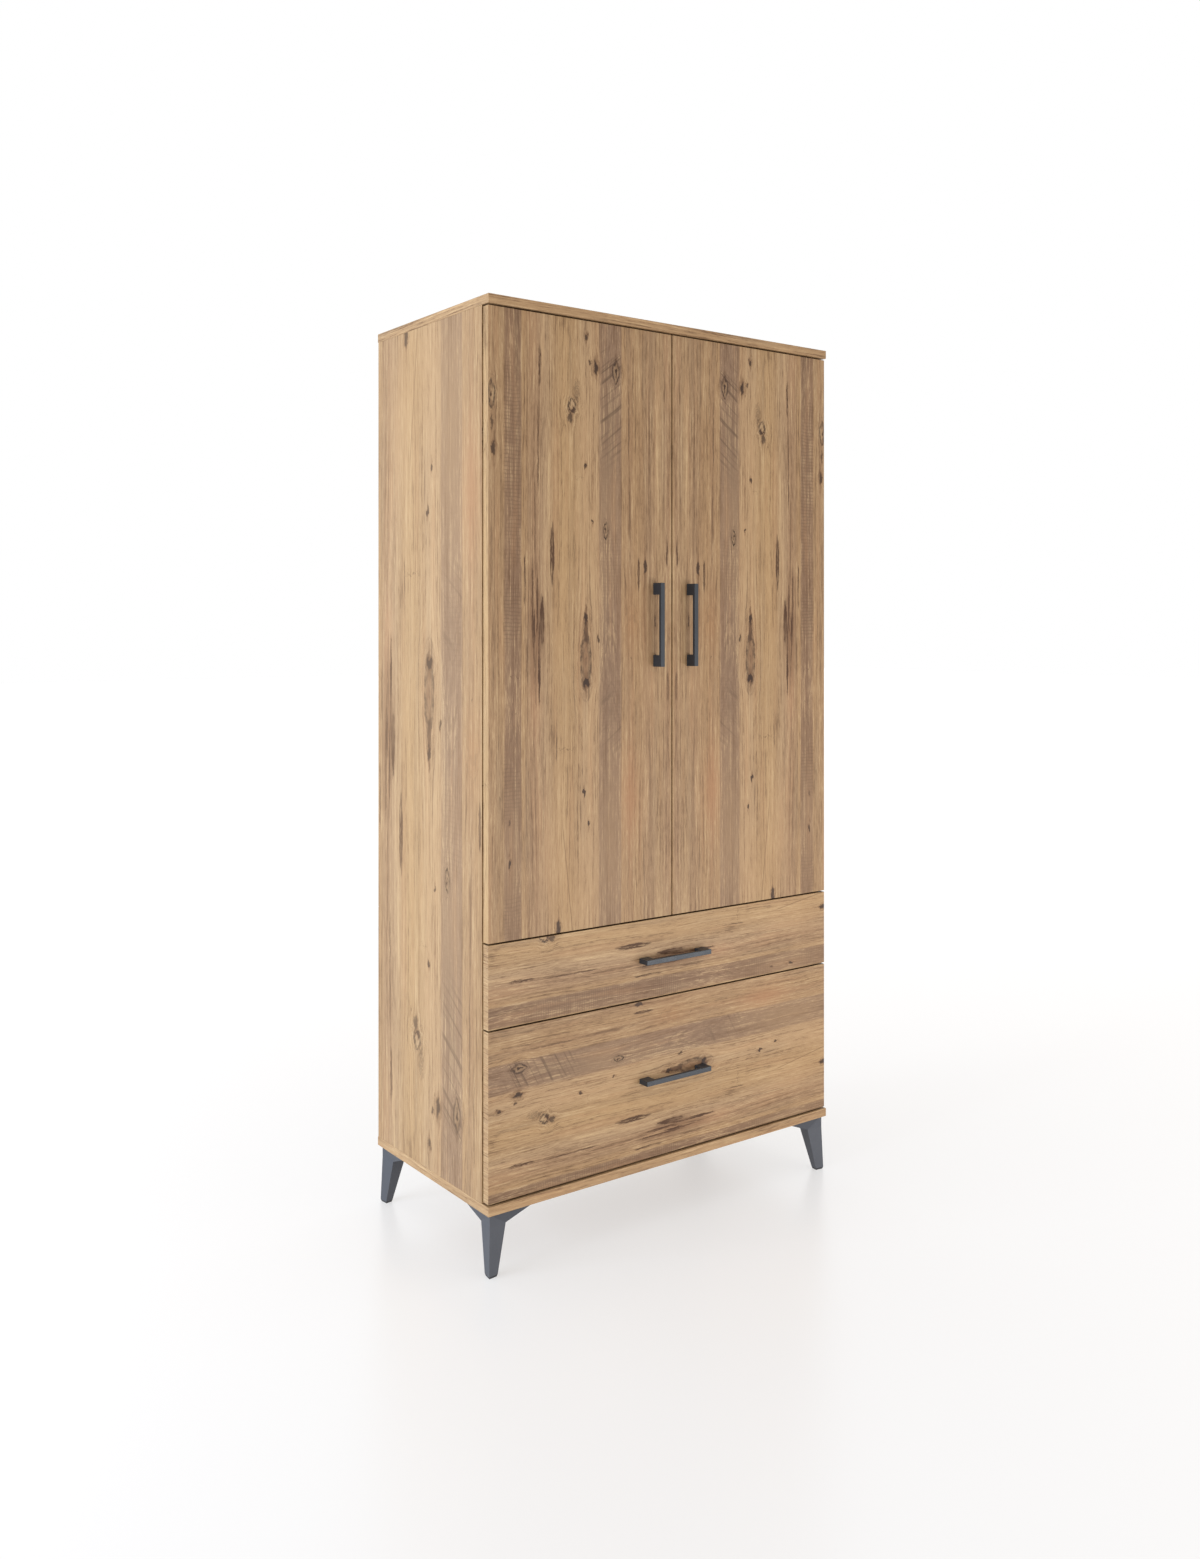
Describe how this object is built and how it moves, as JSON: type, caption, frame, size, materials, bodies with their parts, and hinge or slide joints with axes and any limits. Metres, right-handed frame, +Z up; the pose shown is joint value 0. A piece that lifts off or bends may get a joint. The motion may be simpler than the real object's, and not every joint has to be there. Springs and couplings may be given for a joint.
{
  "type": "armoire",
  "caption": "Free-standing pine-finish wardrobe: hinged doors over drawers, square bow handles, splayed corner legs, hanging rail and hat shelf inside.",
  "frame": {"origin": "on the floor, under the middle of the whole object's box, handles included", "axes": "+Z up, -Y out of the doors and drawers, +X towards the right-hand door as seen from the front"},
  "size_m": [0.9, 0.472, 1.86],
  "materials": {
    "side_pine": "matt melamine with an upright pine print",
    "cap_pine": "matt melamine with a level pine print",
    "door_pine": "matt melamine with an upright pine print",
    "drawer_pine": "matt melamine with a level pine print",
    "shelf_pine": "matt melamine with a level pine print",
    "back_sheet": "thin printed fibreboard",
    "drawer_box": "matt light grey melamine",
    "drawer_sheet": "thin light grey fibreboard",
    "handle_metal": "satin anthracite powder coat",
    "leg_metal": "satin anthracite powder coat",
    "glide_plastic": "black plastic glide",
    "hinge_nickel": "nickel plated steel",
    "runner_zinc": "zinc plated steel",
    "screw_zinc": "zinc plated steel",
    "cam_zinc": "cast zinc",
    "rail_chrome": "chromed steel tube",
    "socket_zinc": "cast zinc",
    "bracket_zinc": "zinc plated steel",
    "bumper_plastic": "soft clear plastic",
    "nail_steel": "bright steel nail",
    "dowel_beech": "fluted beech",
    "pin_zinc": "zinc plated steel"
  },
  "bodies": {
    "carcass": {"top_panel": "cap_pine", "bottom_panel": "cap_pine", "left_side_panel": "side_pine", "right_side_panel": "side_pine", "fixed_shelf": "shelf_pine", "hat_shelf": "shelf_pine", "back_panel_upper": "back_sheet", "back_panel_lower": "back_sheet", "back_panel_nails": "nail_steel", "cam_locks": "cam_zinc", "wooden_dowels": "dowel_beech", "shelf_pins": "pin_zinc", "hanging_rail": "rail_chrome", "rail_sockets": "socket_zinc", "wall_brackets": "bracket_zinc", "door_bumpers": "bumper_plastic", "leg_front_left": "leg_metal", "leg_front_right": "leg_metal", "leg_back_left": "leg_metal", "leg_back_right": "leg_metal", "leg_glides": "glide_plastic", "leg_screws": "screw_zinc", "hinge_plates": "hinge_nickel", "hinge_arms": "hinge_nickel", "carcass_screws": "screw_zinc", "runner_outer_members": "runner_zinc"},
    "left_links": {"left_hinge_links": "hinge_nickel", "left_hinge_pins": "hinge_nickel"},
    "right_links": {"right_hinge_links": "hinge_nickel", "right_hinge_pins": "hinge_nickel"},
    "upper_drawer": {"upper_drawer_front": "drawer_pine", "upper_drawer_left_side": "drawer_box", "upper_drawer_right_side": "drawer_box", "upper_drawer_back": "drawer_box", "upper_drawer_bottom": "drawer_sheet", "upper_drawer_handle": "handle_metal", "upper_drawer_screws": "screw_zinc", "upper_runner_inner": "runner_zinc"},
    "lower_drawer": {"lower_drawer_front": "drawer_pine", "lower_drawer_left_side": "drawer_box", "lower_drawer_right_side": "drawer_box", "lower_drawer_back": "drawer_box", "lower_drawer_bottom": "drawer_sheet", "lower_drawer_handle": "handle_metal", "lower_drawer_screws": "screw_zinc", "lower_runner_inner": "runner_zinc"},
    "upper_runners": {"upper_runner_middle": "runner_zinc"},
    "lower_runners": {"lower_runner_middle": "runner_zinc"},
    "left_door_leaf": {"left_door": "door_pine", "left_door_handle": "handle_metal", "left_hinge_cups": "hinge_nickel", "left_door_screws": "screw_zinc"},
    "right_door_leaf": {"right_door": "door_pine", "right_door_handle": "handle_metal", "right_hinge_cups": "hinge_nickel", "right_door_screws": "screw_zinc"}
  },
  "joints": [
    {"name": "left_link_swing", "type": "hinge", "parent": "carcass", "child": "left_links", "pos_m": [-0.405, -0.18, 1.236], "axis": [0, 0, -1], "range_deg": [-27.5, 0]},
    {"name": "left_door_swing", "type": "hinge", "parent": "left_links", "child": "left_door_leaf", "pos_m": [-0.4375, -0.1955, 1.236], "axis": [0, 0, -1], "range_deg": [0, 125]},
    {"name": "right_link_swing", "type": "hinge", "parent": "carcass", "child": "right_links", "pos_m": [0.405, -0.18, 1.236], "axis": [0, 0, 1], "range_deg": [-27.5, 0]},
    {"name": "right_door_swing", "type": "hinge", "parent": "right_links", "child": "right_door_leaf", "pos_m": [0.4375, -0.1955, 1.236], "axis": [0, 0, 1], "range_deg": [0, 125]},
    {"name": "upper_drawer_slide", "type": "slide", "parent": "carcass", "child": "upper_drawer", "axis": [0, -1, 0], "range_m": [0, 0.33]},
    {"name": "upper_runner_slide", "type": "slide", "parent": "carcass", "child": "upper_runners", "axis": [0, -1, 0], "range_m": [0, 0.165]},
    {"name": "lower_drawer_slide", "type": "slide", "parent": "carcass", "child": "lower_drawer", "axis": [0, -1, 0], "range_m": [0, 0.33]},
    {"name": "lower_runner_slide", "type": "slide", "parent": "carcass", "child": "lower_runners", "axis": [0, -1, 0], "range_m": [0, 0.165]}
  ],
  "couplings": [
    {"joint": "left_link_swing", "follows": "left_door_swing", "ratio": -0.21875},
    {"joint": "right_link_swing", "follows": "right_door_swing", "ratio": -0.21875},
    {"joint": "upper_runner_slide", "follows": "upper_drawer_slide", "ratio": 0.5},
    {"joint": "lower_runner_slide", "follows": "lower_drawer_slide", "ratio": 0.5}
  ]
}
